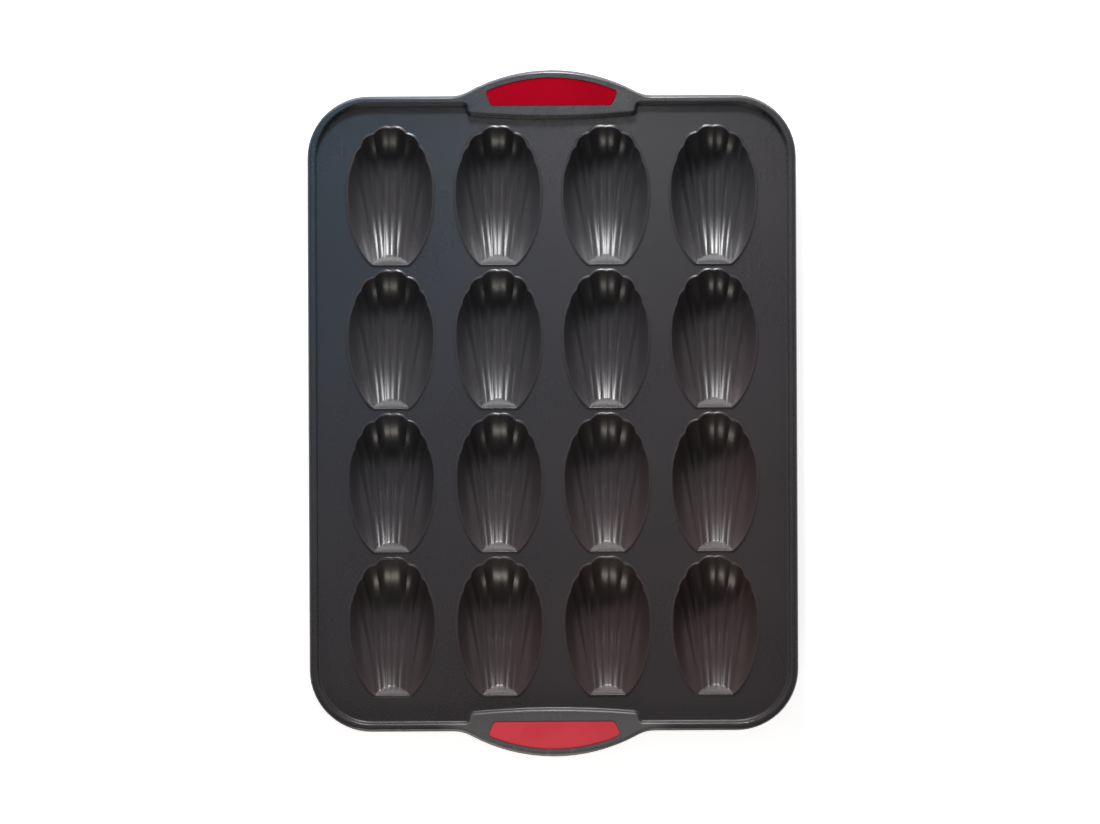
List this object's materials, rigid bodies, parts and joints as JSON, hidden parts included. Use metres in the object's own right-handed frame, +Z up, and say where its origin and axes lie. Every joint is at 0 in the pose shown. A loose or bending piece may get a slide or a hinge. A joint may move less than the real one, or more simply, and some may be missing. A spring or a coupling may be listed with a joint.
{
  "type": "madeleine pan",
  "caption": "Flat madeleine pan with fluted shell-shaped hollows, a raised rolled rim and two end handles with soft silicone grips.",
  "frame": {"origin": "middle of the pan's footprint, at the level that the undersides of the hollows stand on", "axes": "+Z up out of the hollows' mouths, +Y along the pan to the handle at the wide ends of the hollows, +X to the right seen from above with +Y away"},
  "size_m": [0.2776, 0.39, 0.0206],
  "materials": {
    "coated_steel": "satin dark grey non-stick coating",
    "wire_steel": "drawn bright wire",
    "grip_silicone": "matt silicone"
  },
  "bodies": {
    "root": {"deck_and_rim": "coated_steel", "rim_wire": "wire_steel", "far_grip": "grip_silicone", "near_grip": "grip_silicone", "hollow_row_1_col_1": "coated_steel", "hollow_row_1_col_2": "coated_steel", "hollow_row_1_col_3": "coated_steel", "hollow_row_1_col_4": "coated_steel", "hollow_row_2_col_1": "coated_steel", "hollow_row_2_col_2": "coated_steel", "hollow_row_2_col_3": "coated_steel", "hollow_row_2_col_4": "coated_steel", "hollow_row_3_col_1": "coated_steel", "hollow_row_3_col_2": "coated_steel", "hollow_row_3_col_3": "coated_steel", "hollow_row_3_col_4": "coated_steel", "hollow_row_4_col_1": "coated_steel", "hollow_row_4_col_2": "coated_steel", "hollow_row_4_col_3": "coated_steel", "hollow_row_4_col_4": "coated_steel"}
  },
  "joints": []
}
